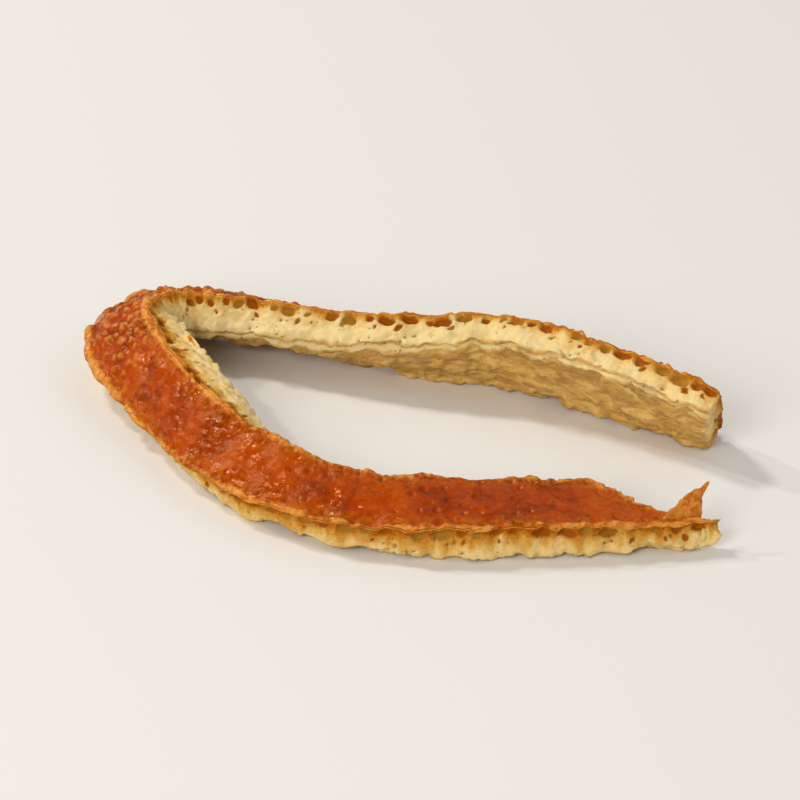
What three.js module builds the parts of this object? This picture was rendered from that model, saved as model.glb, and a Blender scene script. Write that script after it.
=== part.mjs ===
// A dried strip of orange peel, bent back on itself like a hairpin and lying on a table.
// One arm lies flat with its skin up. The strip then rolls over as it goes round the
// bend, so that the other arm stands on its cut edge with its skin facing outwards.
// Millimetres, +Z up, with the origin under the middle of the strip's box.

import * as THREE from "three";

// Driving dimensions
const STRIP_WIDTH = 5.4;        // from cut edge to cut edge
const STRIP_THICKNESS = 2.46;   // skin and pith together
const SQUARENESS = 5;           // 2 would make the section an ellipse, more makes it boxier
const TORN_SLANT = 7.8;         // how far the flat arm's torn end runs back across the strip
const TORN_CURVE = 0.6;         // below 1, the tear leaves a narrow tongue along the lower edge
const CUT_SLANT = -1.4;         // the same for the standing arm's end, which leans the other way
const SLANT_REACH = 22;         // the slant of an end has died away this far along the strip
const END_ROUNDING = 0.9;       // length over which an end rounds off
const END_THINNING = 0.5;       // how much of its thickness an end loses by its rounding
const END_NARROWING = 0.12;     // the same for its width
const PITH_UNEVENNESS = 0.16;   // how far the pith swells and sinks
const SKIN_UNEVENNESS = 0.07;   // the same for the skin
const SETTLE_DEPTH = 0.2;       // how far the lowest spots are pressed flat by what they lie on

// How finely the surface is divided
const STEPS_ALONG = 168;
const STEPS_AROUND = 24;

// Places that the strip's middle line passes, from the tip of the flat arm round the bend
// to the end of the standing arm. roll is in degrees: 90 lies flat with the skin up, and 0
// stands on edge with the skin facing out of the bend. lift is the gap under the lower
// edge, and width and thickness are parts of the strip's full width and thickness. upper and
// lower are how far the pith flares out past the skin along the upper and the lower cut edge.
const STATIONS = [
  { x: 20.6, y: 2.4, roll: 91, lift: 0, width: 1, thickness: 0.72, upper: 0.1, lower: 0.1 },
  { x: 7.2, y: 1.4, roll: 86, lift: 0.05, width: 1.03, thickness: 1.04, upper: 0.1, lower: 0.1 },
  { x: -1.4, y: 1.7, roll: 77, lift: 0.05, width: 0.93, thickness: 0.94, upper: 0.1, lower: 0.1 },
  { x: -7.6, y: 5.1, roll: 62, lift: 0.1, width: 0.86, thickness: 0.88, upper: 0.6, lower: 0.3 },
  { x: -11.9, y: 10.2, roll: 46, lift: 0.1, width: 0.86, thickness: 1.06, upper: 1.5, lower: 0.4 },
  { x: -15, y: 16.2, roll: 42, lift: 0.25, width: 0.94, thickness: 1.08, upper: 1.5, lower: 0.2 },
  { x: -17.3, y: 22, roll: 54, lift: 0.45, width: 1.04, thickness: 1.1, upper: 0.6, lower: 0 },
  { x: -15, y: 26, roll: 62, lift: 0.5, width: 1.04, thickness: 1.1, upper: 0, lower: 0 },
  { x: -8.6, y: 25.5, roll: 60, lift: 0.2, width: 1, thickness: 1.08, upper: 0.2, lower: 0 },
  { x: 0.8, y: 21.8, roll: 45, lift: 0, width: 1, thickness: 1.06, upper: 0.2, lower: 0 },
  { x: 9, y: 19.4, roll: 28, lift: 0.1, width: 1.04, thickness: 1, upper: 0.1, lower: 0 },
  { x: 21.4, y: 10.9, roll: 32, lift: 0, width: 1, thickness: 0.9, upper: 0.1, lower: 0 },
];

// A smooth curve through values that stand at 0, 1, 2 and so on. Its bending is nothing at
// both ends, as in a thin spring held at those values.
function smoothThrough(values) {
  const last = values.length - 1;
  const carry = new Array(last + 1).fill(0);
  const bend = new Array(last + 1).fill(0);
  for (let i = 1; i < last; i += 1) {
    const share = 4 - carry[i - 1];
    carry[i] = 1 / share;
    bend[i] = (6 * (values[i + 1] - 2 * values[i] + values[i - 1]) - bend[i - 1]) / share;
  }
  for (let i = last - 1; i > 0; i -= 1) {
    bend[i] -= carry[i] * bend[i + 1];
  }
  return (place) => {
    const i = THREE.MathUtils.clamp(Math.floor(place), 0, last - 1);
    const after = place - i;
    const before = 1 - after;
    const straight = before * values[i] + after * values[i + 1];
    const curved = (before ** 3 - before) * bend[i] + (after ** 3 - after) * bend[i + 1];
    return straight + curved / 6;
  };
}

// The middle line seen from above, as a curve that knows its own length.
class MiddleLine extends THREE.Curve {
  constructor() {
    super();
    this.arcLengthDivisions = 600;
    this.x = smoothThrough(STATIONS.map((station) => station.x));
    this.y = smoothThrough(STATIONS.map((station) => station.y));
  }

  getPoint(t, target = new THREE.Vector3()) {
    const place = t * (STATIONS.length - 1);
    return target.set(this.x(place), this.y(place), 0);
  }
}

const middleLine = new MiddleLine();
const stripLength = middleLine.getLength();
const rollAt = smoothThrough(STATIONS.map((station) => THREE.MathUtils.degToRad(station.roll)));
const liftAt = smoothThrough(STATIONS.map((station) => station.lift));
const widthAt = smoothThrough(STATIONS.map((station) => station.width * STRIP_WIDTH));
const thicknessAt = smoothThrough(STATIONS.map((station) => station.thickness * STRIP_THICKNESS));
const upperFlareAt = smoothThrough(STATIONS.map((station) => station.upper));
const lowerFlareAt = smoothThrough(STATIONS.map((station) => station.lower));

// The section's outline, from -1 to 1 both ways. across goes from the lower cut edge to the
// upper one, and depth from the pith to the skin.
function sectionOutline() {
  const outline = [];
  for (let j = 0; j < STEPS_AROUND; j += 1) {
    const angle = (j / STEPS_AROUND) * 2 * Math.PI;
    const squared = (value) => Math.sign(value) * Math.abs(value) ** (2 / SQUARENESS);
    outline.push({ angle, across: squared(Math.cos(angle)), depth: squared(Math.sin(angle)) });
  }
  return outline;
}

// Slow swellings of the dried surface, in mm.
function unevenness(along, outlinePoint) {
  const size = outlinePoint.depth > 0 ? SKIN_UNEVENNESS : PITH_UNEVENNESS;
  const long = Math.sin(along / 1.9 + 2 * outlinePoint.angle);
  const short = Math.sin(along / 0.9 - 3 * outlinePoint.angle + 1);
  return size * (0.6 * long + 0.4 * short);
}

// An end's slant fades away along the strip.
function slantFade(fromEnd) {
  return Math.max(0, 1 - fromEnd / SLANT_REACH) ** 2;
}

// How far an end's rounding has gone: 1 at the very end and 0 where the section is whole.
function endRounding(fromEnd) {
  const outwards = Math.max(0, 1 - fromEnd / END_ROUNDING);
  return 1 - Math.sqrt(1 - outwards ** 2);
}

// One point of the strip's surface.
function surfacePoint(along, outlinePoint, rounding) {
  const u = THREE.MathUtils.clamp(along / stripLength, 0, 1);
  const t = middleLine.getUtoTmapping(u);
  const place = t * (STATIONS.length - 1);
  const roll = rollAt(place);
  const halfWidth = widthAt(place) / 2;
  const halfThickness = thicknessAt(place) / 2;

  const forward = middleLine.getTangent(t);
  const outward = new THREE.Vector3(-forward.y, forward.x, 0);
  const up = new THREE.Vector3(0, 0, 1);
  const towardsSkin = outward.clone().multiplyScalar(Math.cos(roll)).addScaledVector(up, Math.sin(roll));
  const towardsTop = outward.clone().multiplyScalar(-Math.sin(roll)).addScaledVector(up, Math.cos(roll));

  const swell = unevenness(along, outlinePoint);
  const flare = outlinePoint.across > 0 ? upperFlareAt(place) : lowerFlareAt(place);
  const flared = flare * Math.abs(outlinePoint.across) * (1 - outlinePoint.depth) / 2;
  const across = outlinePoint.across * (halfWidth * (1 - END_NARROWING * rounding) + 0.5 * swell + flared);
  const depth = outlinePoint.depth * (halfThickness * (1 - END_THINNING * rounding) + swell);
  const middleHeight = liftAt(place) + halfWidth * Math.abs(Math.cos(roll)) + halfThickness * Math.sin(roll);

  const point = middleLine.getPoint(t);
  point.z = middleHeight;
  point.addScaledVector(towardsTop, across);
  point.addScaledVector(towardsSkin, depth);
  point.z = Math.max(point.z - SETTLE_DEPTH, 0);
  return point;
}

// The strip as one closed surface: rings of the section from end to end, and a fan of
// triangles on each end.
function stripGeometry() {
  const outline = sectionOutline();
  const positions = [];
  const faces = [];

  for (let i = 0; i <= STEPS_ALONG; i += 1) {
    const along = (i / STEPS_ALONG) * stripLength;
    const left = stripLength - along;
    const rounding = endRounding(Math.min(along, left));
    for (const outlinePoint of outline) {
      const height = (outlinePoint.across + 1) / 2;
      const torn = TORN_SLANT * height ** TORN_CURVE * slantFade(along);
      const cut = CUT_SLANT * (1 - height) * slantFade(left);
      positions.push(...surfacePoint(along + torn + cut, outlinePoint, rounding).toArray());
    }
  }

  for (let i = 0; i < STEPS_ALONG; i += 1) {
    for (let j = 0; j < STEPS_AROUND; j += 1) {
      const next = (j + 1) % STEPS_AROUND;
      const here = i * STEPS_AROUND;
      const beyond = here + STEPS_AROUND;
      faces.push(here + j, beyond + j, beyond + next);
      faces.push(here + j, beyond + next, here + next);
    }
  }

  const addEnd = (firstOfRing, facesBack) => {
    const centre = new THREE.Vector3();
    for (let j = 0; j < STEPS_AROUND; j += 1) {
      centre.add(new THREE.Vector3().fromArray(positions, 3 * (firstOfRing + j)));
    }
    centre.divideScalar(STEPS_AROUND);
    const centreIndex = positions.length / 3;
    positions.push(...centre.toArray());
    for (let j = 0; j < STEPS_AROUND; j += 1) {
      const here = firstOfRing + j;
      const next = firstOfRing + ((j + 1) % STEPS_AROUND);
      faces.push(centreIndex, facesBack ? here : next, facesBack ? next : here);
    }
  };
  addEnd(0, true);
  addEnd(STEPS_ALONG * STEPS_AROUND, false);

  const geometry = new THREE.BufferGeometry();
  geometry.setAttribute("position", new THREE.Float32BufferAttribute(positions, 3));
  geometry.setIndex(faces);
  geometry.computeBoundingBox();
  const middle = geometry.boundingBox.getCenter(new THREE.Vector3());
  geometry.translate(-middle.x, -middle.y, -geometry.boundingBox.min.z);
  geometry.computeVertexNormals();
  return geometry;
}

const peelMaterial = new THREE.MeshStandardMaterial({ color: 0xb4541c, roughness: 0.5, metalness: 0 });
const peelStrip = new THREE.Mesh(stripGeometry(), peelMaterial);
peelStrip.name = "peel_strip";

const orangePeel = new THREE.Group();
orangePeel.add(peelStrip);

export default orangePeel;
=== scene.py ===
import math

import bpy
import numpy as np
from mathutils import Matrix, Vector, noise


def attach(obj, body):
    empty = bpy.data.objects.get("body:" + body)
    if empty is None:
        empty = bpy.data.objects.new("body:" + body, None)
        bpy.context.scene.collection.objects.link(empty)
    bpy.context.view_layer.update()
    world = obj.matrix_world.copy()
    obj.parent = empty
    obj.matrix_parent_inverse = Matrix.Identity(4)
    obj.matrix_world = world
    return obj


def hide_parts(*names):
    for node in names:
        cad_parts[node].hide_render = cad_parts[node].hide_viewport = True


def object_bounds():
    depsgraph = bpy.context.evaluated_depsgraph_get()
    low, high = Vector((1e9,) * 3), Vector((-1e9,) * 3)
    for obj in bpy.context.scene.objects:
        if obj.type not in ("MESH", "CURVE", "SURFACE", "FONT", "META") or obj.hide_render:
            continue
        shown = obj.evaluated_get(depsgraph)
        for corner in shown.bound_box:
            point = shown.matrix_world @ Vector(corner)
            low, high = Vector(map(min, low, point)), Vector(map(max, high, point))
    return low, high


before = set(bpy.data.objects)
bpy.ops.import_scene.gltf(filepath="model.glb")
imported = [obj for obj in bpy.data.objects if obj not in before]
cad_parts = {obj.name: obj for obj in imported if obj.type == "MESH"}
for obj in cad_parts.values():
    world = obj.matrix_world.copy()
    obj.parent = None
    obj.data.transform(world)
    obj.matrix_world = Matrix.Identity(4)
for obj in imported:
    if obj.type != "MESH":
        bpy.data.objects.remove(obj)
cad_low, cad_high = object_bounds()

# A dried strip of orange peel. The strip is first built straight, in its own unrolled
# space: along its length, across from the lower cut edge to the upper one, and out from
# the pith to the skin, all in mm. Its relief is made there, and then the whole strip is
# bent into the CAD solid's hairpin. Offsets in the noise calls only keep patterns apart.

MM = 0.001                    # metres in a millimetre

# The strip's driving sizes, in mm, as in the CAD model
STRIP_WIDTH = 5.4             # from cut edge to cut edge
STRIP_THICKNESS = 2.46        # skin and pith together
TORN_SLANT = 7.8              # how far the flat arm's torn end runs back across the strip
TORN_SLANT_POWER = 0.6        # below 1, the tear leaves a narrow tongue along the lower edge
CUT_SLANT = -1.4              # the same for the standing arm's end, which leans the other way
SLANT_REACH = 22.0            # the slant of an end has died away this far along the strip
END_ROUNDING = 0.9            # length over which an end rounds off
SETTLE_DEPTH = 0.2            # how far the strip is let down before its lowest spots are flattened

# The dried strip's own sizes, in mm or as parts of its full width or thickness
END_THINNING = 0.30           # how much of its thickness an end loses by its rounding
END_NARROWING = 0.10          # the same for its width
TEAR_WAVES = ((0.30, 17, 0), (0.16, 41, 1))   # height, pace and start of the tear's waves
EDGE_WANDER = 0.34            # how far the cut edges wander in and out
PITH_WANDER = 0.42            # how much thicker and thinner the pith gets
PITH_WARP = 0.35              # how far its sides stray
SKIN_CORNER = (0.07, 0.16)    # rounded part of the half width and half thickness at the skin
PITH_CORNER = (0.20, 0.44)    # the same at the pith
CORNER_PULL = 0.68            # how far a corner is drawn in, as a part of its rounding

# Places that the middle line passes: x, y, roll in degrees, lift, width and thickness as
# parts of the full size, and how far the pith sticks out past the skin along the upper
# and the lower cut edge. Lengths are in mm. Roll 90 lies flat with the skin up.
STATIONS = (
    (20.6, 2.4, 91, 0.00, 1.00, 0.72, 0.1, 0.1),
    (7.2, 1.4, 86, 0.05, 1.03, 1.04, 0.1, 0.1),
    (-1.4, 1.7, 77, 0.05, 0.93, 0.94, 0.1, 0.1),
    (-7.6, 5.1, 62, 0.10, 0.86, 0.88, 0.6, 0.3),
    (-11.9, 10.2, 46, 0.10, 0.86, 1.06, 1.5, 0.4),
    (-15.0, 16.2, 42, 0.25, 0.94, 1.08, 1.5, 0.2),
    (-17.3, 22.0, 54, 0.45, 1.04, 1.10, 0.6, 0.0),
    (-15.0, 26.0, 62, 0.50, 1.04, 1.10, 0.0, 0.0),
    (-8.6, 25.5, 60, 0.20, 1.00, 1.08, 0.2, 0.0),
    (0.8, 21.8, 45, 0.00, 1.00, 1.06, 0.2, 0.0),
    (9.0, 19.4, 28, 0.10, 1.04, 1.00, 0.1, 0.0),
    (21.4, 10.9, 32, 0.00, 1.00, 0.90, 0.1, 0.0),
)

# Where the hairpin turns, and how deep the golden layer under the skin is at places along
# the strip, in mm
TURN_ALONG = 52.0
TURN_REACH = 13.0
GOLDEN_PLACES = (0.0, 8.0, 18.0, 34.0, 48.0, 60.0, 76.0, 95.0)
GOLDEN_DEPTHS = (0.65, 1.00, 1.20, 0.90, 1.15, 0.60, 0.62, 1.00)
UPPER_GOLDEN = 0.62           # the layer's share of that along the upper edge
# The upper edge starts past most of the darker amber band, which is partly painted shade under the
# lower lip.
UPPER_LEAST = 0.45            # the upper edge starts this far into the golden layer

# How finely the surface is divided
RINGS = 760
SKIN_CELLS = 38               # across the skin
CUT_CELLS = 24                # across each cut face
PITH_CELLS = 34               # across the inner face
CAP_RINGS = 12                # from an end's outline in to its middle
FOLD_ROUNDS = 8               # smoothing rounds where the surface folds over
FOLDED, FLAT = 0.35, 0.60     # how well the faces round a point agree where it is one or the other

# Heights and depths of the relief, in mm
SWELL_HEIGHT = 0.11
CROWN_HEIGHT = 0.10
WRINKLE_HEIGHT = 0.07
CREASE_DEPTH = 0.08
PEBBLE_HEIGHT = 0.04
PEBBLE_HEIGHT_AT_TURN = 0.26  # added to that at the turn
PIT_RIM_HEIGHT = 0.05
PIT_DEPTH = 0.14
LIP_WIDTH = 0.26
LIP_HEIGHT = 0.06             # of the skin's raised lip, whose waves add these
LIP_SLOW_WAVE = 0.12
LIP_WAVE = 0.14
ARCH_HEIGHT = 0.10            # where the lip bulges over a gland
LEDGE_HEIGHT = 0.12           # how far the skin stands out past the cut face
SHRINK_DEPTH = 0.08           # how far the layer under it has shrunk back
UPPER_LEDGE = 0.45            # the share of both along the upper edge
CURL_LOWER, CURL_UPPER = 0.50, 0.26           # the skin's curl along its two edges
CURL_REACH = 0.8              # how far in from the edge the curl dies away
CRAG_HEIGHT = 0.13
CRACK_DEPTH = 0.09
STRING_HEIGHT = 0.12
CRUMB_HEIGHT = 0.03
CRUMB_HEIGHT_ON_CRAGS = 0.10  # added to that on the crags
PORE_DEPTH = 0.22
CORNER_HEIGHT = 0.10          # how far the pith's corners stand out where nothing bit them
BITE_DEPTH = 0.42

# Scattered spots: how many are tried, their radius and how far apart they stay, in mm
PEBBLES = (1500, 0.36, 0.56)
PITS = (330, 0.15, 0.85)
CRUMBS = (2400, 0.20, 0.34)
PORES = (300, 0.14, 0.36)

# The oil glands that show in the cut faces, in mm
GLAND_SPACING = 1.36
GLAND_MIDDLE = 0.48           # below the skin
GLAND_HALF_LENGTH = 0.60
GLAND_HALF_HEIGHT = 0.36
GLAND_DEPTH = 0.34
GLAND_RIM_HEIGHT = 0.06
SMALL_GLAND = 0.38            # size of the small glands under the row, as a part of the row's
SMALL_GLAND_DROP = 0.55       # how far below the row they lie

# The shred and the two fibres of the torn end: where each is rooted, where it bends and its
# tip (along, across, out), its width and thickness at the root, and its depth below the skin
SHREDS = (
    ((3.0, -2.15, 0.10), (2.3, -1.7, 1.30), (0.8, -0.6, 2.70), 2.90, 0.34, 0.0),
    ((1.6, -2.0, 0.40), (0.7, -2.0, 0.45), (0.2, -1.9, 0.66), 1.00, 0.60, 0.5),
    ((1.5, -2.2, -0.10), (0.7, -2.2, -0.20), (0.3, -2.2, -0.14), 1.00, 0.80, 1.6),
)
SHRED_TAPER = 0.86            # how much of its width a shred loses towards its tip
SHRED_WAVER = 0.2             # how far it strays sideways
SHRED_UNEVENNESS = 0.3        # how much wider and narrower it gets
SHRED_RAGGEDNESS = 0.18       # how ragged its sides are
SHRED_RIPPLE = 0.22           # how far it ripples across the strip
SHRED_GOLDEN = 1.4            # golden layers for each mm that it lies below the skin
SHRED_FROM_EDGE = 0.22        # coloured like skin that is this far from its edge
SHRED_RINGS = 32
SHRED_SIDES = 16

SEED = 7


# ---------------------------------------------------------------- the bent path

def smooth_through(values):
    """A natural cubic spline through values that stand at 0, 1, 2 and so on."""
    values = np.asarray(values, float)
    last = len(values) - 1
    matrix = np.eye(last + 1)
    right = np.zeros(last + 1)
    for i in range(1, last):
        matrix[i, i - 1:i + 2] = (1, 4, 1)
        right[i] = 6 * (values[i + 1] - 2 * values[i] + values[i - 1])
    bend = np.linalg.solve(matrix, right)

    def curve(place):
        i = np.clip(np.floor(place).astype(int), 0, last - 1)
        after = place - i
        before = 1 - after
        curved = (before ** 3 - before) * bend[i] + (after ** 3 - after) * bend[i + 1]
        return before * values[i] + after * values[i + 1] + curved / 6

    return curve


class BentPath:
    """The strip's middle line and how the strip stands on it, by distance along it."""

    def __init__(self, stations, samples=4001):
        columns = [smooth_through(column) for column in zip(*stations)]
        place = np.linspace(0, len(stations) - 1, samples)
        x, y, roll, lift, width, thickness, upper, lower = [column(place) for column in columns]
        steps = np.hypot(np.diff(x), np.diff(y))
        self.along = np.concatenate([[0], np.cumsum(steps)])
        self.length = self.along[-1]
        self.x, self.y = x, y
        self.forward_x = np.gradient(x, self.along)
        self.forward_y = np.gradient(y, self.along)
        self.roll = np.radians(roll)
        self.half_width = width * STRIP_WIDTH / 2
        self.half_thickness = thickness * STRIP_THICKNESS / 2
        self.upper_bevel = upper
        self.lower_bevel = lower
        heading = np.unwrap(np.arctan2(self.forward_y, self.forward_x))
        self.turning = np.gradient(heading, self.along)
        tall = self.half_width * np.abs(np.cos(self.roll))
        thick = STRIP_THICKNESS / 2 * np.sin(self.roll)
        self.height = lift + tall + thick - SETTLE_DEPTH

    def at(self, name, along):
        return np.interp(along, self.along, getattr(self, name))

    def squeeze(self, points):
        """How long a step along the strip is after bending: 1 is as before, 0 is none."""
        along, across, out = points.T
        roll = self.at("roll", along)
        level = out * np.cos(roll) - across * np.sin(roll)
        return np.clip(1 - self.at("turning", along) * level, 0.0, 2.0)

    def bend(self, points):
        """Unrolled points (along, across, out) to points of the lying strip."""
        along, across, out = points.T
        inside = np.clip(along, 0, self.length)
        beyond = along - inside
        forward = np.stack([self.at("forward_x", inside), self.at("forward_y", inside)], 1)
        forward /= np.linalg.norm(forward, axis=1)[:, None]
        outward = np.stack([-forward[:, 1], forward[:, 0]], 1)
        roll = self.at("roll", inside)
        level = out * np.cos(roll) - across * np.sin(roll)
        rise = out * np.sin(roll) + across * np.cos(roll)
        middle = np.stack([self.at("x", inside), self.at("y", inside)], 1)
        plan = middle + outward * level[:, None] + forward * beyond[:, None]
        return np.column_stack([plan, self.at("height", inside) + rise])


path = BentPath(STATIONS)


# ---------------------------------------------------------------- helpers

def smoothstep(low, high, value):
    t = np.clip((value - low) / (high - low), 0, 1)
    return t * t * (3 - 2 * t)


def fractal(points, size, octaves=3, offset=0.0, smoothness=0.9):
    """Cloudy noise, about -1 to 1, whose largest lumps are about size mm across."""
    scaled = points / np.asarray(size, float) + offset
    return np.array([noise.fractal(Vector(p), smoothness, 2.1, octaves) for p in scaled])


def ridged(points, size, octaves=3, offset=0.0):
    """Noise with sharp creases: 1 on a crease, falling to 0 between them."""
    return 1 - np.clip(np.abs(fractal(points, size, octaves, offset)) * 2.2, 0, 1)


def vertex_normals(points, faces):
    """Outward normals of a closed quad or triangle mesh, averaged at each vertex."""
    corners = points[faces]
    across = corners[:, 2] - corners[:, 0]
    other = corners[:, -1] - corners[:, 1]
    face_normals = np.cross(across, other)
    normals = np.zeros_like(points)
    for k in range(faces.shape[1]):
        np.add.at(normals, faces[:, k], face_normals)
    return normals / np.maximum(np.linalg.norm(normals, axis=1), 1e-12)[:, None]


# ---------------------------------------------------------------- the straight strip

def section_outline():
    """The section's outline from -1 to 1 both ways, starting at the middle of the upper
    cut face and going over the skin. Corners are rounded, more so on the pith side."""
    def run(start, end, cells):
        t = np.linspace(0, 1, cells, endpoint=False)[:, None]
        return np.array(start) * (1 - t) + np.array(end) * t

    half_cut = CUT_CELLS // 2
    square = np.concatenate([
        run((1, 0), (1, 1), half_cut),
        run((1, 1), (-1, 1), SKIN_CELLS),
        run((-1, 1), (-1, -1), CUT_CELLS),
        run((-1, -1), (1, -1), PITH_CELLS),
        run((1, -1), (1, 0), half_cut),
    ])
    rounded = square.copy()
    for row, (a, d) in enumerate(square):
        wide, tall = SKIN_CORNER if d > 0 else PITH_CORNER
        from_side = (1 - abs(a)) / wide
        from_top = (1 - abs(d)) / tall
        reach = min(1, max(from_side, from_top))
        pull = CORNER_PULL * (1 - reach) ** 2
        rounded[row] = (a - np.sign(a) * wide * pull, d - np.sign(d) * tall * pull)
    return rounded


def end_slant(along, height):
    """How far a point is pushed along the strip by the slant of the nearest end."""
    left = path.length - along
    fade = np.clip(1 - along / SLANT_REACH, 0, 1) ** 2
    ragged = sum(size * np.sin(pace * height + start) for size, pace, start in TEAR_WAVES)
    torn = (TORN_SLANT * height ** TORN_SLANT_POWER + ragged * (1 - height)) * fade
    cut = CUT_SLANT * (1 - height) * np.clip(1 - left / SLANT_REACH, 0, 1) ** 2
    return torn + cut


def wandering(points):
    """Hand-cut edges: each side wanders in and out, and the pith is thicker and thinner."""
    along, across, out = points.T
    ones = np.ones_like(along)
    share = across / (STRIP_WIDTH / 2)
    upper = fractal(np.column_stack([along, ones * 3, ones]), (3.4, 1, 1), 3)
    lower = fractal(np.column_stack([along, ones * 9, ones]), (2.8, 1, 1), 3)
    thick = fractal(np.column_stack([along, across * 0.6, ones]), (2.6, 1, 1), 3, 4.0)
    inwards = np.clip(0.5 - out / STRIP_THICKNESS, 0, 1)
    upper = EDGE_WANDER * upper + inwards * path.at("upper_bevel", along)
    lower = EDGE_WANDER * lower + inwards * path.at("lower_bevel", along)
    across = across + np.where(share > 0, upper, -lower) * share ** 2
    pith_side = smoothstep(0.2, -1.0, out / (STRIP_THICKNESS / 2))
    out = out - PITH_WANDER * thick * pith_side
    warped = PITH_WARP * pith_side * fractal(points, 1.9, 3, 14.0, 0.9)
    across = across + warped * share
    out = out + 0.5 * warped
    return np.column_stack([along, across, out])


def straight_strip():
    """The smooth strip in unrolled space: rings of the section, closed at both ends by
    rings that shrink to a middle point. Returns its points, quads and closing triangles."""
    outline = section_outline()
    count = len(outline)
    places = np.linspace(0, path.length, RINGS)
    levels = [(along, 1.0) for along in places]
    inner = np.linspace(1, 0, CAP_RINGS + 1)[1:-1]
    levels = [(0.0, q) for q in inner[::-1]] + levels + [(path.length, q) for q in inner]

    points = []
    for along, shrink in levels:
        from_end = min(along, path.length - along)
        outwards = max(0.0, 1 - from_end / END_ROUNDING)
        rounded = 1 - math.sqrt(1 - outwards ** 2)
        height = (outline[:, 0] * shrink + 1) / 2
        pushed = along + end_slant(along, np.clip(height, 0, 1))
        half_width = path.at("half_width", pushed) * (1 - END_NARROWING * rounded)
        half_thickness = path.at("half_thickness", pushed) * (1 - END_THINNING * rounded)
        points.append(np.column_stack([
            pushed,
            outline[:, 0] * shrink * half_width,
            outline[:, 1] * shrink * half_thickness,
        ]))
    points = wandering(np.concatenate(points))

    quads = []
    ring = np.arange(count)
    after = (ring + 1) % count
    for level in range(len(levels) - 1):
        here = level * count
        beyond = here + count
        quads.append(np.column_stack([here + ring, beyond + ring, beyond + after, here + after]))
    quads = np.concatenate(quads)

    first_middle = points[:count].mean(0)
    last_middle = points[-count:].mean(0)
    top = len(points)
    points = np.concatenate([points, [first_middle, last_middle]])
    last = (len(levels) - 1) * count
    start_fan = np.column_stack([np.full(count, top), ring, after])
    end_fan = np.column_stack([np.full(count, top + 1), last + after, last + ring])
    return points, quads, np.concatenate([start_fan, end_fan])


# ---------------------------------------------------------------- relief

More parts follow.
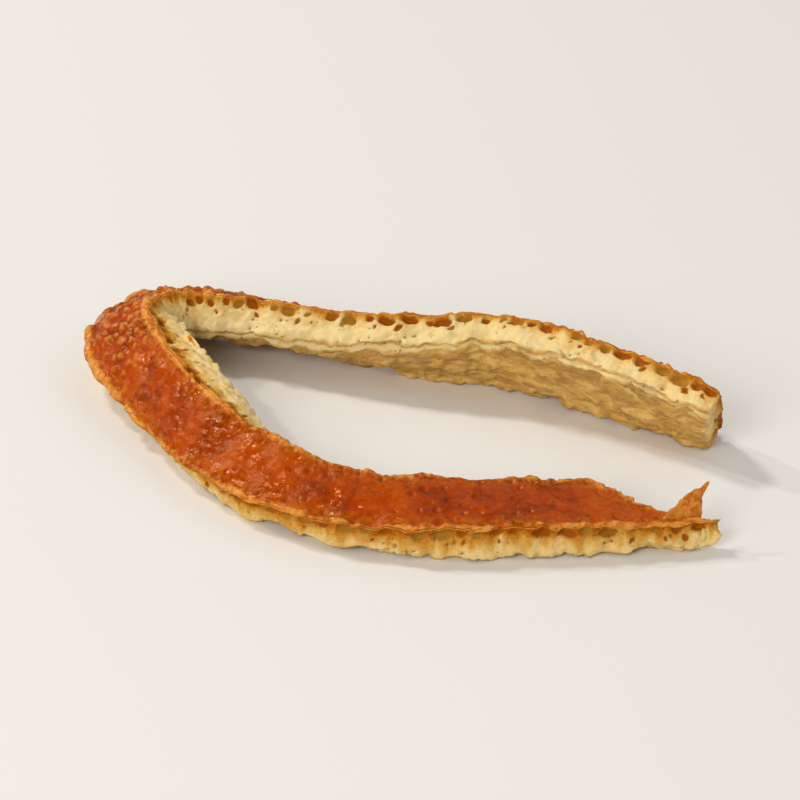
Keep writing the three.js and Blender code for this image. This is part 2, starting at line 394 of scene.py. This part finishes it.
class Relief:
    """The dried surface in unrolled space. It moves each point out along the normal, and
    keeps what the material needs to know about each point."""

    def __init__(self, points, normals):
        self.points = points
        self.normals = normals
        self.random = np.random.RandomState(SEED)
        self.along, self.across, self.out = points.T
        self.half_width = path.at("half_width", np.clip(self.along, 0, path.length))
        self.half_thickness = path.at("half_thickness", np.clip(self.along, 0, path.length))
        self.below_skin = np.clip(self.half_thickness - self.out, 0, None)
        self.on_skin = smoothstep(0.55, 0.9, normals[:, 2])
        self.on_pith = smoothstep(0.55, 0.9, -normals[:, 2])
        self.on_cut = np.clip(1 - self.on_skin - self.on_pith, 0, 1)
        self.from_edge = self.distance_from_edges()
        self.turn = smoothstep(TURN_REACH, 3, np.abs(self.along - TURN_ALONG))
        self.uneven = fractal(points, 0.6, 2, 17.0)
        self.move = np.zeros(len(points))
        self.hollow = np.zeros(len(points))
        self.tint = np.zeros(len(points))
        self.arch = np.zeros(len(points))
        self.curl = np.zeros(len(points))

    def distance_from_edges(self):
        """How far a point of the skin is from the nearest cut edge or end."""
        side = self.half_width - np.abs(self.across)
        height = np.clip((self.across / self.half_width + 1) / 2, 0, 1)
        start = self.along - end_slant(np.zeros_like(self.along), height)
        end = path.length - self.along
        return np.clip(np.minimum(side, np.minimum(start * 0.6, end)), 0, None)

    def swell(self):
        """Slow waves of the whole dried strip, and the skin's slight crown."""
        self.move += SWELL_HEIGHT * fractal(self.points, 3.2, 2) * (0.5 + 0.5 * self.on_pith)
        crown = 1 - (self.across / self.half_width) ** 2
        self.move += CROWN_HEIGHT * crown * self.on_skin

    def wrinkle_skin(self):
        """Leathery wrinkles, pebbles that swell most at the turn, and sunken oil pits."""
        stretched = self.points * np.array([0.6, 1.0, 1.0])
        creases = ridged(stretched, 1.5, 3, 11.0)
        rough = fractal(self.points, 0.7, 3, 5.0, 0.8)
        skin = self.on_skin > 0.5
        self.pebble = np.exp(-self.scattered(skin, *PEBBLES) ** 2)
        pits = self.scattered(skin, *PITS)
        self.pit = np.exp(-pits ** 2) * self.on_skin
        rims = np.exp(-((pits - 1.8) / 0.5) ** 2)
        self.move += self.on_skin * (
            WRINKLE_HEIGHT * rough - CREASE_DEPTH * creases ** 3
            + (PEBBLE_HEIGHT + PEBBLE_HEIGHT_AT_TURN * self.turn) * self.pebble * (1 + 0.6 * rough)
            + PIT_RIM_HEIGHT * rims - PIT_DEPTH * self.pit
        )

    def scattered(self, where, tries, radius, apart):
        """How far each point is from the nearest of many scattered spots, in spot radii.
        The spots lie on points picked from where, at least apart mm from each other."""
        order = np.argsort(self.along)
        sorted_along = self.along[order]
        candidates = self.points[self.random.choice(np.flatnonzero(where), tries)]
        sizes = radius * self.random.uniform(0.7, 1.35, tries)
        kept = np.zeros((0, 3))
        nearest = np.full(len(self.points), 4.0)
        for spot, size in zip(candidates, sizes):
            if len(kept) and np.min(np.sum((kept - spot) ** 2, axis=1)) < apart ** 2:
                continue
            kept = np.vstack([kept, spot])
            first, last = np.searchsorted(sorted_along, (spot[0] - 4 * size, spot[0] + 4 * size))
            near = order[first:last]
            reach = np.linalg.norm(self.points[near] - spot, axis=1) / size
            nearest[near] = np.minimum(nearest[near], reach)
        return nearest

    def glands(self):
        """Rows of opened oil glands in the cut faces, just under the skin."""
        at_ends = np.minimum(self.along, path.length - self.along) < 0.5
        across_end = self.across + STRIP_WIDTH / 2
        on_end = np.abs(self.normals[:, 0]) > 0.6
        faces = (
            (self.along, self.normals[:, 1] > 0.5, path.length, self.across, 1),
            (self.along, self.normals[:, 1] < -0.5, path.length, -self.across, -1),
            (across_end, on_end, STRIP_WIDTH, at_ends, 0),
        )
        for run, on_face, length, side, edge in faces:
            place = 0.4
            while place < length:
                size = self.random.uniform(0.42, 1.18)
                middle = GLAND_MIDDLE + self.random.uniform(-0.10, 0.16)
                room = path.squeeze(np.array([[place, edge * STRIP_WIDTH / 2, 0.6]]))[0]
                opened = smoothstep(0.3, 0.9, room) if edge else 1.0
                size *= 0.4 + 0.6 * opened
                if self.random.uniform() < 0.45 + 0.45 * opened:
                    self.carve_gland(run, on_face, place, middle, size)
                    self.raise_arch(run, place, size, side)
                if self.random.uniform() < 0.45:
                    aside = self.random.uniform(0.2, 0.9)
                    lower = middle + SMALL_GLAND_DROP
                    self.carve_gland(run, on_face, place + aside, lower, size * SMALL_GLAND)
                place += GLAND_SPACING * (0.35 + 0.65 * size) * self.random.uniform(0.85, 1.25)

    def carve_gland(self, run, on_face, place, middle, size):
        """A leaning, uneven oval hollow with a raised rim."""
        length = GLAND_HALF_LENGTH * size * self.random.uniform(0.85, 1.15)
        height = GLAND_HALF_HEIGHT * (0.45 + 0.55 * size) * self.random.uniform(0.8, 1.2)
        near = np.where(on_face & (np.abs(run - place) < 1.5 * length))[0]
        lean = self.random.uniform(-0.5, 0.5)
        upwards = self.below_skin[near] - middle
        lengthwise = run[near] - place + lean * upwards
        reach = np.sqrt((lengthwise / length) ** 2 + (upwards / height) ** 2)
        reach *= 1 + 0.16 * self.uneven[near]
        bowl = np.sqrt(np.clip(1 - reach ** 2, 0, 1))
        rim = np.exp(-((reach - 1.16) / 0.16) ** 2)
        self.move[near] += GLAND_RIM_HEIGHT * rim - GLAND_DEPTH * size * bowl
        self.hollow[near] = np.maximum(self.hollow[near], smoothstep(1.05, 0.75, reach))
        self.tint[near] = np.where(reach < 1.1, self.random.uniform(), self.tint[near])

    def raise_arch(self, run, place, size, side):
        """The skin bulges over a gland that lies at its edge."""
        near = np.where(np.abs(run - place) < GLAND_HALF_LENGTH * size)[0]
        hump = np.cos((run[near] - place) / (GLAND_HALF_LENGTH * size) * math.pi / 2)
        close = np.exp(-(self.from_edge[near] / 0.4) ** 2) * (side[near] > 0)
        self.arch[near] = np.maximum(self.arch[near], hump * close)

    def lips(self):
        """The thin skin stands up along its cut edges in uneven scallops."""
        wave = fractal(self.points * np.array([1.0, 0.2, 0.0]), 0.9, 3, 21.0, 0.6)
        slow = fractal(self.points * np.array([1.0, 0.0, 0.0]), 4.0, 2, 27.0)
        width = LIP_WIDTH * (1 + 0.5 * slow + 0.5 * self.turn)
        lip = np.exp(-(self.from_edge / width) ** 2) * self.on_skin
        self.move += lip * (LIP_HEIGHT + LIP_SLOW_WAVE * slow + LIP_WAVE * wave)
        self.move += ARCH_HEIGHT * self.on_skin * self.arch
        rim = np.exp(-((self.below_skin - 0.05) / 0.10) ** 2) * self.on_cut
        shrunk = smoothstep(0.15, 0.3, self.below_skin) * smoothstep(1.1, 0.7, self.below_skin)
        share = np.where(self.across < 0, 1.0, UPPER_LEDGE)
        ledge = LEDGE_HEIGHT * rim * (1 + 1.1 * wave) - SHRINK_DEPTH * shrunk
        self.move += self.on_cut * share * ledge

    def curl_edges(self):
        """The skin's edges curl up and down in waves as they dry."""
        wave = fractal(self.points * np.array([1.0, 0.6, 0.0]), 1.6, 3, 33.0, 0.8)
        calm = fractal(self.points * np.array([1.0, 0.6, 0.0]), 5.0, 2, 37.0)
        from_side = np.clip(self.half_width - np.abs(self.across), 0, None)
        upper_layer = smoothstep(1.4, 0.2, self.below_skin)
        height = np.where(self.across < 0, CURL_LOWER, CURL_UPPER)
        height = height * np.clip(0.75 - 1.3 * calm, 0.15, 1.5)
        self.curl = height * wave * np.exp(-(from_side / CURL_REACH) ** 2) * upper_layer

    def crumble_pith(self):
        """Craggy, crumbling cut pith with open pores, and the stringier inner face."""
        deep = smoothstep(0.35, 0.9, self.below_skin)
        crags = fractal(self.points, 0.9, 4, 31.0, 0.7)
        cracks = ridged(self.points, 1.3, 3, 41.0)
        self.move += self.on_cut * deep * (CRAG_HEIGHT * crags - CRACK_DEPTH * cracks ** 4)

        strings = ridged(self.points * np.array([0.35, 1.0, 1.0]), 1.1, 3, 51.0)
        self.move += self.on_pith * (STRING_HEIGHT * strings ** 2 + CRAG_HEIGHT * crags)

        pith = deep * np.clip(self.on_cut + self.on_pith, 0, 1)
        crumbs = np.exp(-self.scattered(pith > 0.5, *CRUMBS) ** 2)
        crumb_height = CRUMB_HEIGHT + CRUMB_HEIGHT_ON_CRAGS * np.clip(crags + 0.3, 0, 1)
        self.move += pith * crumb_height * crumbs
        clustered = fractal(self.points, 2.2, 2, 63.0) > 0.08
        pores = self.scattered((pith > 0.5) & (self.on_cut > 0.3) & clustered, *PORES)
        self.pore = np.exp(-pores ** 2) * pith
        self.move -= PORE_DEPTH * self.pore

        along_only = self.points * np.array([1.0, 0.15, 0.15])
        bites = smoothstep(-0.1, 0.6, fractal(along_only, 2.6, 3, 71.0, 1.0))
        from_corner = np.hypot(self.half_thickness + self.out, self.half_width - np.abs(self.across))
        kept_whole = smoothstep(24, 12, np.abs(self.along - TURN_ALONG)) * (self.across > 0)
        bite_depth = BITE_DEPTH * (1 - 0.75 * kept_whole)
        at_corner = smoothstep(1.0, 0.2, from_corner)
        self.move += (CORNER_HEIGHT - bite_depth * bites) * at_corner * deep

    def golden(self):
        """Depth below the skin in golden layers: a quarter of one is darker amber, partly the
        glands' own colour and partly painted shade under the lip, half of one is golden, one is
        yellow, and more is cream."""
        thick = np.interp(self.along, GOLDEN_PLACES, GOLDEN_DEPTHS)
        thick = thick * np.where(self.across < 0, 1.0, UPPER_GOLDEN)
        uneven = fractal(self.points * np.array([1.0, 0.3, 0.3]), 1.2, 3, 81.0)
        drips = fractal(self.points * np.array([1.0, 0.4, 0.2]), 0.55, 2, 91.0)
        layers = self.below_skin / (thick * np.clip(1 + 0.35 * uneven + 0.60 * drips, 0.35, 2.0))
        # The upper edge keeps little of the darker amber band of painted shade.
        return np.where(self.across < 0, layers, np.maximum(layers, UPPER_LEAST))

    def moved(self):
        """The relief is gentler where the bend crowds the surface together."""
        room = 0.25 + 0.75 * smoothstep(0.1, 0.8, path.squeeze(self.points))
        moved = self.points + self.normals * (self.move * room)[:, None]
        moved[:, 2] += self.curl * room
        return moved


def shred(root, middle, tip, width, thickness, depth):
    """A closed, tapering, uneven blade on a curve through three places. Returns its points
    and quads, with the two ends closed by quads that fold shut."""
    root, middle, tip = (np.array(place, float) for place in (root, middle, tip))
    t = np.linspace(0, 1, SHRED_RINGS)[:, None]
    line = root * (1 - t) ** 2 + 2 * middle * t * (1 - t) + tip * t ** 2
    forward = np.gradient(line, axis=0)
    forward /= np.linalg.norm(forward, axis=1)[:, None]
    sideways = np.cross(forward, (0.0, 1.0, 0.0))
    sideways /= np.linalg.norm(sideways, axis=1)[:, None]
    upwards = np.cross(sideways, forward)
    taper = (1 - SHRED_TAPER * t) * np.sqrt(np.clip(1 - t ** 6, 0.02, 1))
    jitter = fractal(line, 0.6, 3, depth + width)[:, None]
    line = line + sideways * jitter * SHRED_WAVER * np.sin(math.pi * t)
    ragged = fractal(line, 0.35, 2, depth + 9.0)[:, None]
    uneven = SHRED_UNEVENNESS * np.roll(jitter, 3, axis=0)
    taper = taper * (1 + uneven + SHRED_RAGGEDNESS * ragged)
    rings = []
    for angle in np.linspace(0, 2 * math.pi, SHRED_SIDES, endpoint=False):
        wide = sideways * math.cos(angle) * width / 2
        thick = upwards * math.sin(angle) * thickness / 2
        rings.append(line + (wide + thick) * taper)
    points = np.stack(rings, 1).reshape(-1, 3)
    rippled = fractal(points * np.array([1.0, 0.3, 1.0]), 0.9, 3, 55.0, 0.8)
    points[:, 1] += SHRED_RIPPLE * rippled
    quads = tube_quads(SHRED_RINGS, SHRED_SIDES)
    half = SHRED_SIDES // 2
    for first, ends in ((0, False), ((SHRED_RINGS - 1) * SHRED_SIDES, True)):
        for k in range(half - 1):
            opposite = first + SHRED_SIDES - 1 - k
            lid = [first + k, first + k + 1, opposite - 1, opposite]
            quads.append(lid if ends else lid[::-1])
    return points, quads


def tube_quads(rings, sides):
    """Quads of a tube whose points run round ring after ring."""
    quads = []
    for ring in range(rings - 1):
        for side in range(sides):
            here = ring * sides + side
            beside = ring * sides + (side + 1) % sides
            quads.append([here, beside, beside + sides, here + sides])
    return quads


def add_shreds(points, faces, shown):
    """Joins the shreds to the strip's mesh and gives their points the material's values."""
    plain = {"from_edge": SHRED_FROM_EDGE}
    for *shape, depth in SHREDS:
        plain["below_skin"] = depth
        plain["golden"] = SHRED_GOLDEN * depth
        shred_points, quads = shred(*shape, depth)
        first = len(points)
        points = np.concatenate([points, shred_points])
        faces = faces + [[first + corner for corner in quad] for quad in quads]
        for name in shown:
            added = np.full(len(shred_points), plain.get(name, 0.0))
            shown[name] = np.concatenate([shown[name], added])
    return points, faces


def relieved_strip():
    """The strip with its relief, still straight, with what the material reads."""
    points, quads, fans = straight_strip()
    triangles = np.concatenate([quads[:, [0, 1, 2]], quads[:, [0, 2, 3]], fans])
    relief = Relief(points, -vertex_normals(points, triangles))   # unrolled space is mirrored
    relief.swell()
    relief.wrinkle_skin()
    relief.glands()
    relief.lips()
    relief.curl_edges()
    relief.crumble_pith()
    shown = {
        "below_skin": np.where(relief.on_skin > 0.5, 0.0, relief.below_skin),
        "golden": relief.golden(),
        "from_edge": relief.from_edge,
        "hollow": relief.hollow,
        "tint": relief.tint,
        "pit": relief.pit,
        "pebble": relief.pebble,
        "pore": relief.pore,
        "turn": relief.turn,
        "inner_face": relief.on_pith,
    }
    points, faces = add_shreds(relief.moved(), quads.tolist() + fans.tolist(), shown)
    return points, quads, faces, shown


# ---------------------------------------------------------------- mesh

def mesh_object(name, points_mm, faces, shown, unrolled):
    """A smooth-shaded mesh object in metres, with its material's attributes."""
    mesh = bpy.data.meshes.new(name)
    mesh.from_pydata((points_mm * MM).tolist(), [], [tuple(face) for face in faces])
    mesh.polygons.foreach_set("use_smooth", np.ones(len(mesh.polygons), bool))
    for attribute, values in shown.items():
        layer = mesh.attributes.new(attribute, "FLOAT", "POINT")
        layer.data.foreach_set("value", values.astype(np.float32))
    layer = mesh.attributes.new("unrolled", "FLOAT_VECTOR", "POINT")
    layer.data.foreach_set("vector", unrolled.astype(np.float32).ravel())
    mesh.validate()
    mesh.update()
    piece = bpy.data.objects.new(name, mesh)
    bpy.context.scene.collection.objects.link(piece)
    return piece


def ease_folds(points, quads):
    """Smooths the few spots where the relief or the bend folds the surface over."""
    points = points.copy()
    for _ in range(FOLD_ROUNDS):
        agreed = np.zeros_like(points)
        around = np.zeros_like(points)
        count = np.full(len(points), 1e-9)
        for k in range(4):
            here = quads[:, k]
            after = points[quads[:, (k + 1) % 4]]
            before = points[quads[:, k - 1]]
            corner = np.cross(after - points[here], before - points[here])
            corner /= np.maximum(np.linalg.norm(corner, axis=1), 1e-12)[:, None]
            np.add.at(agreed, here, corner)
            np.add.at(around, here, (after + before) / 2)
            np.add.at(count, here, 1)
        flatness = np.linalg.norm(agreed, axis=1) / count
        folded = smoothstep(FLAT, FOLDED, flatness) * (count > 1)
        points += folded[:, None] * (around / count[:, None] - points)
    return points


def place_on_floor(points):
    """Centres bent points under the CAD solid's box and presses the lowest ones flat."""
    smooth_points = path.bend(straight_strip()[0])
    middle = (smooth_points.min(0) + smooth_points.max(0)) / 2
    cad_middle = (np.array(cad_low) + np.array(cad_high)) / 2 / MM
    placed = points + np.array([cad_middle[0] - middle[0], cad_middle[1] - middle[1], 0])
    placed[:, 2] = np.maximum(placed[:, 2], cad_low.z / MM)
    return placed


def make_strip():
    """The whole dried strip as one object."""
    straight, quads, faces, shown = relieved_strip()
    bent = place_on_floor(ease_folds(path.bend(straight), quads))
    return mesh_object("peel_strip_dried", bent, faces, shown, straight)


# ---------------------------------------------------------------- material

class Nodes:
    """Short calls for building a node material."""

    def __init__(self, name):
        self.material = bpy.data.materials.new(name)
        self.material.use_nodes = True
        self.tree = self.material.node_tree
        self.shader = self.tree.nodes["Principled BSDF"]

    def link(self, source, target):
        self.tree.links.new(source, target)

    def put(self, value, socket):
        if isinstance(value, bpy.types.NodeSocket):
            self.link(value, socket)
        else:
            socket.default_value = value

    def attribute(self, name, output="Fac"):
        node = self.tree.nodes.new("ShaderNodeAttribute")
        node.attribute_name = name
        return node.outputs[output]

    def math(self, operation, *values):
        node = self.tree.nodes.new("ShaderNodeMath")
        node.operation = operation
        for value, socket in zip(values, node.inputs):
            self.put(value, socket)
        return node.outputs[0]

    def rise(self, value, low, high, start=0.0, end=1.0):
        """value from low to high becomes start to end, smoothly and clamped."""
        node = self.tree.nodes.new("ShaderNodeMapRange")
        node.interpolation_type = "SMOOTHSTEP"
        self.put(value, node.inputs["Value"])
        ranges = {"From Min": low, "From Max": high, "To Min": start, "To Max": end}
        for socket, number in ranges.items():
            node.inputs[socket].default_value = number
        return node.outputs["Result"]

    def noise(self, vector, scale, detail=3.0, roughness=0.55, distortion=0.0):
        node = self.tree.nodes.new("ShaderNodeTexNoise")
        self.link(vector, node.inputs["Vector"])
        node.inputs["Scale"].default_value = scale
        node.inputs["Detail"].default_value = detail
        node.inputs["Roughness"].default_value = roughness
        node.inputs["Distortion"].default_value = distortion
        return node.outputs["Fac"]

    def spots(self, vector, scale):
        """How far a place is from the nearest of many scattered spots."""
        node = self.tree.nodes.new("ShaderNodeTexVoronoi")
        self.link(vector, node.inputs["Vector"])
        node.inputs["Scale"].default_value = scale
        return node.outputs["Distance"]

    def stretch(self, vector, scale):
        node = self.tree.nodes.new("ShaderNodeMapping")
        self.link(vector, node.inputs["Vector"])
        node.inputs["Scale"].default_value = scale
        return node.outputs["Vector"]

    def ramp(self, value, stops):
        node = self.tree.nodes.new("ShaderNodeValToRGB")
        self.link(value, node.inputs["Fac"])
        elements = node.color_ramp.elements
        while len(elements) < len(stops):
            elements.new(0.5)
        for element, (position, colour) in zip(elements, stops):
            element.position = position
            element.color = (*colour, 1.0)
        return node.outputs["Color"]

    def mix(self, share, first, second):
        """first where share is 0 and second where it is 1, for colours or numbers."""
        node = self.tree.nodes.new("ShaderNodeMix")
        node.data_type = "RGBA"
        factor, colours, result = node.inputs[0], node.inputs[6:8], node.outputs[2]
        self.put(share, factor)
        for value, socket in zip((first, second), colours):
            self.put((*value, 1.0) if isinstance(value, tuple) else value, socket)
        return result

    def bump(self, height, strength, distance):
        node = self.tree.nodes.new("ShaderNodeBump")
        self.link(height, node.inputs["Height"])
        node.inputs["Strength"].default_value = strength
        node.inputs["Distance"].default_value = distance
        return node.outputs["Normal"]


# Colours of dried peel
SKIN_DARK = (0.225, 0.025, 0.001)
SKIN_MIDDLE = (0.390, 0.046, 0.001)
SKIN_LIGHT = (0.470, 0.078, 0.001)
RUSSET = (0.470, 0.140, 0.005)
LIP = (0.740, 0.340, 0.060)
AMBER = (0.360, 0.090, 0.002)
OLIVE = (0.420, 0.200, 0.018)
GOLDEN = (0.540, 0.190, 0.010)
YELLOW = (0.680, 0.385, 0.080)
CREAM = (0.835, 0.600, 0.240)
PALE_CREAM = (0.850, 0.670, 0.330)
# Tan of the inner face, partly its own browner pith and partly painted shade
SHADED_TAN = (0.360, 0.165, 0.030)
PORE = (0.160, 0.060, 0.008)

FINE_BUMP = (0.6, 0.00014)    # strength, and height in metres

# What is the same all over the rind, on the shader's own sockets
RIND_SETTINGS = {
    "Specular IOR Level": 0.30,
    "Specular Tint": (1.0, 0.60, 0.22, 1.0),
    "Subsurface Weight": 0.12,
    "Subsurface Radius": (1.0, 0.45, 0.15),
    "Subsurface Scale": 0.0006,
    "IOR": 1.45,
}


def skin_colour(n, place, mottle):
    """Dark and light patches, painted shade in the sunken pits, pebble tops paled by a painted
    highlight, most at the turn, russet margins and a pale lip that is worn away in places."""
    patches = n.noise(place, 0.42, 4.0, 0.6, 0.4)
    skin = n.ramp(patches, ((0.34, SKIN_DARK), (0.52, SKIN_MIDDLE), (0.74, SKIN_LIGHT)))
    skin = n.mix(n.rise(mottle, 0.52, 0.75, 0.0, 0.55), skin, SKIN_LIGHT)
    skin = n.mix(n.rise(mottle, 0.42, 0.25, 0.0, 0.6), skin, SKIN_DARK)
    turn = n.attribute("turn")
    pebble = n.attribute("pebble")
    # Painted highlight: the pebbles' tops are paled, most at the turn
    pebble_highlight_strength = n.math("MULTIPLY_ADD", turn, 0.52, 0.05)
    pale = n.math("MULTIPLY", n.rise(pebble, 0.35, 0.90), pebble_highlight_strength)
    pale = n.math("MULTIPLY", pale, n.rise(mottle, 0.30, 0.62, 0.25, 1.0))
    skin = n.mix(pale, skin, LIP)
    near_edge = n.rise(n.attribute("from_edge"), 1.5, 0.4)
    margin = n.math("MULTIPLY", near_edge, n.rise(mottle, 0.35, 0.65))
    skin = n.mix(n.math("MULTIPLY", margin, 0.55), skin, RUSSET)
    # Painted shade in the sunken oil pits
    skin = n.mix(n.rise(n.attribute("pit"), 0.2, 0.9, 0.0, 0.6), skin, SKIN_DARK)
    edge = n.math("ADD", n.attribute("from_edge"), n.rise(mottle, 0.2, 0.8, 0.14, -0.14))
    edge = n.math("SUBTRACT", edge, n.math("MULTIPLY", turn, 0.40))
    grain = n.noise(place, 1.9, 3.0, 0.65, 0.5)
    lightness = n.math("MAXIMUM", n.rise(patches, 0.40, 0.60), n.rise(grain, 0.35, 0.60))
    lip = n.mix(lightness, SKIN_LIGHT, LIP)
    on_lip = n.rise(edge, 0.46, 0.06, 0.0, 0.9)
    kept = n.math("MULTIPLY", on_lip, n.rise(grain, 0.30, 0.55, 0.45, 1.0))
    return n.mix(kept, skin, lip)


def pith_colour(n, place):
    """A darker amber band just under the skin, strongest under the lower lip, partly the glands' own
    colour and partly painted shade under the lip, then golden, yellow and cream, with pores, veins
    and gland hollows, and a tan inner face darkened by painted shade.
    """
    grain = n.noise(place, 5.5, 3.0, 0.65)
    golden = n.math("ADD", n.attribute("golden"), n.rise(grain, 0.25, 0.75, -0.22, 0.22))
    # Amber at the ramp's start is a darker band just under the skin: partly the glands' own colour,
    # partly painted shade under the lip.
    pith = n.ramp(
        n.math("DIVIDE", golden, 4.0),
        ((0.06, AMBER), (0.14, GOLDEN), (0.27, YELLOW), (0.42, CREAM), (0.80, PALE_CREAM)),
    )
    patches = n.noise(place, 0.9, 3.0)
    pith = n.mix(n.rise(patches, 0.50, 0.72, 0.0, 0.55), pith, YELLOW)
    pith = n.mix(n.rise(grain, 0.56, 0.8, 0.0, 0.45), pith, YELLOW)
    veins = n.noise(n.stretch(place, (0.35, 1.0, 1.0)), 1.2, 4.0, 0.6, 1.2)
    # Inner face: veins from tan to cream, the tan partly painted shade
    inner = n.ramp(veins, ((0.38, SHADED_TAN), (0.56, YELLOW), (0.72, CREAM)))
    pith = n.mix(n.math("MULTIPLY", n.attribute("inner_face"), 0.85), pith, inner)
    specks = n.spots(place, 2.8)
    few = n.noise(place, 0.8, 2.0)
    speck = n.math("MULTIPLY", n.rise(specks, 0.22, 0.12), n.rise(few, 0.56, 0.62))
    hole = n.math("MAXIMUM", n.rise(n.attribute("pore"), 0.35, 0.9), speck)
    pith = n.mix(n.math("MULTIPLY", hole, 0.7), pith, PORE)
    gland = n.mix(n.rise(n.attribute("tint"), 0.45, 0.75), AMBER, OLIVE)
    return n.mix(n.rise(n.attribute("hollow"), 0.15, 0.95), pith, gland)


def rind_material():
    """Waxy skin over golden gland cells and spongy cream pith."""
    n = Nodes("dried_rind")
    place = n.attribute("unrolled", "Vector")
    mottle = n.noise(place, 2.6, 3.0, 0.6)
    is_skin = n.rise(n.attribute("below_skin"), 0.10, 0.03)
    colour = n.mix(is_skin, pith_colour(n, place), skin_colour(n, place, mottle))
    n.link(colour, n.shader.inputs["Base Color"])

    # Skin that is waxy in patches, dull pith and glossier hollows
    waxy = n.rise(n.noise(place, 0.55, 2.0), 0.44, 0.60, 0.26, 0.02)
    wax = n.math("ADD", waxy, n.rise(mottle, 0.3, 0.7, 0.05, 0.20))
    dull = n.rise(n.attribute("hollow"), 0.0, 1.0, 0.80, 0.35)
    on_skin = n.math("MULTIPLY", wax, is_skin)
    elsewhere = n.math("MULTIPLY", dull, n.math("SUBTRACT", 1.0, is_skin))
    n.link(n.math("ADD", on_skin, elsewhere), n.shader.inputs["Roughness"])

    # Fine relief: gently uneven skin, grainy pith
    fine_skin = n.noise(place, 2.6, 2.0, 0.5)
    fine_pith = n.noise(place, 6.5, 4.0, 0.7)
    fine = n.mix(is_skin, fine_pith, fine_skin)
    n.link(n.bump(fine, *FINE_BUMP), n.shader.inputs["Normal"])

    for socket, value in RIND_SETTINGS.items():
        n.shader.inputs[socket].default_value = value
    return n.material


# ---------------------------------------------------------------- studio

CAMERA_ELEVATION = 29         # degrees that the camera looks down
CAMERA_LENS = 200.0           # focal length and sensor width in mm
CAMERA_SENSOR = 36.0
FRAME_FILL = 0.80             # how much of the picture's width the strip fills
NEAR_CLIP = 0.05              # nearest and farthest thing seen, in camera distances
FAR_CLIP = 40

FLOOR_HALF = 3.0              # half the floor's side, in metres
FLOOR_COLOUR = (0.80, 0.80, 0.79, 1)
FLOOR_ROUGHNESS = 0.7
SURROUND_COLOUR = (1.0, 0.96, 0.90, 1)
SURROUND_STRENGTH = 0.40
SURROUND_IN_GLOSS = 0.10      # its strength in reflections, which are duller

# Lamps: azimuth and elevation in degrees, distance and size in metres, power and colour
LAMPS = {
    "key": (-125, 52, 0.45, 0.08, 0.68, (1.0, 0.95, 0.88)),
    "front": (-28, 30, 0.45, 0.22, 1.00, (1.0, 0.96, 0.90)),
    "fill": (75, 35, 0.50, 0.30, 0.20, (1.0, 0.97, 0.94)),
    "back": (160, 40, 0.50, 0.30, 0.12, (1.0, 0.98, 0.96)),
    "sparkle": (-116, 36, 0.45, 0.020, 0.34, (1.0, 0.93, 0.83)),
}


def make_camera():
    """Square to the strip's long side and looking down at the middle of its box."""
    middle = (cad_low + cad_high) / 2
    elevation = math.radians(CAMERA_ELEVATION)
    width = (cad_high.x - cad_low.x) / FRAME_FILL
    distance = width / 2 / (CAMERA_SENSOR / 2 / CAMERA_LENS)
    back = Vector((0, -math.cos(elevation), math.sin(elevation)))
    data = bpy.data.cameras.new("camera")
    data.lens = CAMERA_LENS
    data.sensor_width = CAMERA_SENSOR
    data.clip_start = distance * NEAR_CLIP
    data.clip_end = distance * FAR_CLIP
    camera = bpy.data.objects.new("camera", data)
    camera.location = middle + back * distance
    camera.rotation_euler = (-back).to_track_quat("-Z", "Y").to_euler()
    bpy.context.scene.collection.objects.link(camera)
    bpy.context.scene.camera = camera


def area_light(name, azimuth, elevation, distance, size, power, colour):
    """A round lamp that faces the strip."""
    middle = (cad_low + cad_high) / 2
    a, e = math.radians(azimuth), math.radians(elevation)
    towards = Vector((math.sin(a) * math.cos(e), -math.cos(a) * math.cos(e), math.sin(e)))
    data = bpy.data.lights.new(name, "AREA")
    data.shape = "DISK"
    data.size = size
    data.energy = power
    data.color = colour
    lamp = bpy.data.objects.new(name, data)
    lamp.location = middle + towards * distance
    lamp.rotation_euler = (-towards).to_track_quat("-Z", "Y").to_euler()
    bpy.context.scene.collection.objects.link(lamp)


def make_floor():
    """A plain pale floor under the strip."""
    half, level = FLOOR_HALF, cad_low.z
    corners = [(-half, -half, level), (half, -half, level), (half, half, level), (-half, half, level)]
    mesh = bpy.data.meshes.new("floor")
    mesh.from_pydata(corners, [], [(0, 1, 2, 3)])
    floor = bpy.data.objects.new("floor", mesh)
    bpy.context.scene.collection.objects.link(floor)
    pale = bpy.data.materials.new("floor_pale")
    pale.use_nodes = True
    shader = pale.node_tree.nodes["Principled BSDF"]
    shader.inputs["Base Color"].default_value = FLOOR_COLOUR
    shader.inputs["Roughness"].default_value = FLOOR_ROUGHNESS
    mesh.materials.append(pale)


def make_surround():
    """A pale surround that shines less in reflections."""
    world = bpy.data.worlds.new("surround")
    world.use_nodes = True
    background = world.node_tree.nodes["Background"]
    background.inputs["Color"].default_value = SURROUND_COLOUR
    ray = world.node_tree.nodes.new("ShaderNodeLightPath")
    strength = world.node_tree.nodes.new("ShaderNodeMapRange")
    strength.inputs["To Min"].default_value = SURROUND_STRENGTH
    strength.inputs["To Max"].default_value = SURROUND_IN_GLOSS
    world.node_tree.links.new(ray.outputs["Is Glossy Ray"], strength.inputs["Value"])
    world.node_tree.links.new(strength.outputs["Result"], background.inputs["Strength"])
    bpy.context.scene.world = world


def make_studio():
    """A pale floor and surround, four soft lamps and a small one for the glints."""
    bpy.context.scene.view_settings.view_transform = "Standard"
    make_floor()
    make_surround()
    for name, settings in LAMPS.items():
        area_light(name, *settings)


# ---------------------------------------------------------------- the scene

make_camera()
make_studio()

strip = make_strip()
strip.data.materials.append(rind_material())
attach(strip, "root")
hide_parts("peel_strip")
